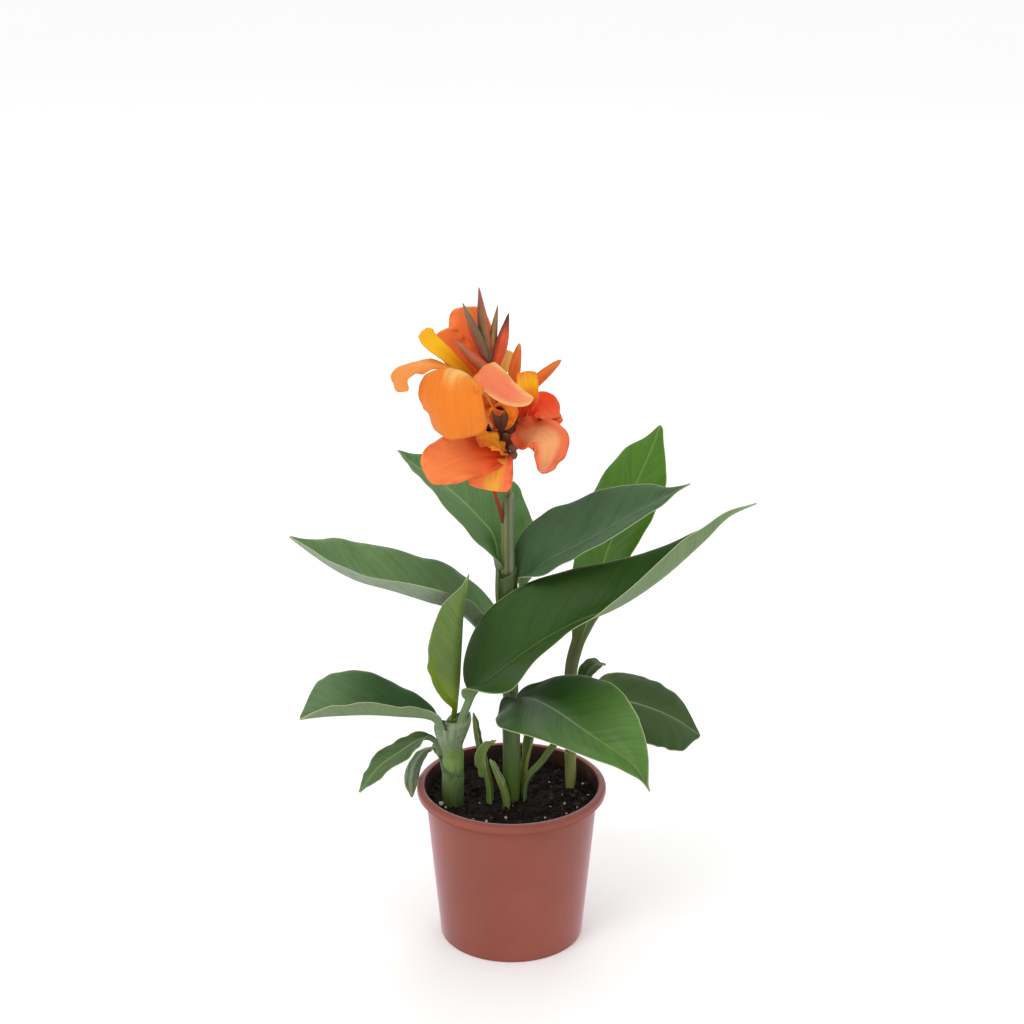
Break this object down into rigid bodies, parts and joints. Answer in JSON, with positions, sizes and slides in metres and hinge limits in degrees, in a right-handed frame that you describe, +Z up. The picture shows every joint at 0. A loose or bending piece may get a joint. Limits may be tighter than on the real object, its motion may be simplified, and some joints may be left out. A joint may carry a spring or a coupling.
{
  "type": "potted canna plant",
  "caption": "Potted canna plant with broad paddle leaves on leafy shoots and an upright head of orange blooms and pointed buds, in a round tapered plastic nursery pot filled with soil.",
  "frame": {"origin": "centre of the pot's flat foot, where it stands", "axes": "+Z up along the pot's axis, +X to the picture's right, -Y towards the viewer"},
  "size_m": [0.3445, 0.2417, 0.537],
  "materials": {
    "terracotta_plastic": "satin",
    "potting_soil": "rough",
    "rhizome": "matt",
    "stem": "satin",
    "sprout": "satin",
    "leaf": "satin",
    "bud": "satin",
    "petal": "satin"
  },
  "bodies": {
    "root": {"pot": "terracotta_plastic", "soil": "potting_soil", "rhizome": "rhizome", "stem_main": "stem", "stem_left": "stem", "stem_right": "stem", "leaf_front_low": "leaf", "leaf_long_left": "leaf", "leaf_back_left": "leaf", "leaf_upper_right": "leaf", "leaf_back_right": "leaf", "leaf_front_large": "leaf", "leaf_young": "leaf", "leaf_lower_left": "leaf", "leaf_small_left": "leaf", "leaf_over_rim": "leaf", "leaf_low_right": "leaf", "leaf_small_right": "leaf", "sprout_left": "sprout", "sprout_front": "sprout", "sprout_right": "sprout", "stalk_sheath": "stem", "raceme": "bud", "bloom_front": "petal", "bloom_bottom": "petal", "bloom_right": "petal", "bloom_top": "petal"}
  },
  "joints": []
}
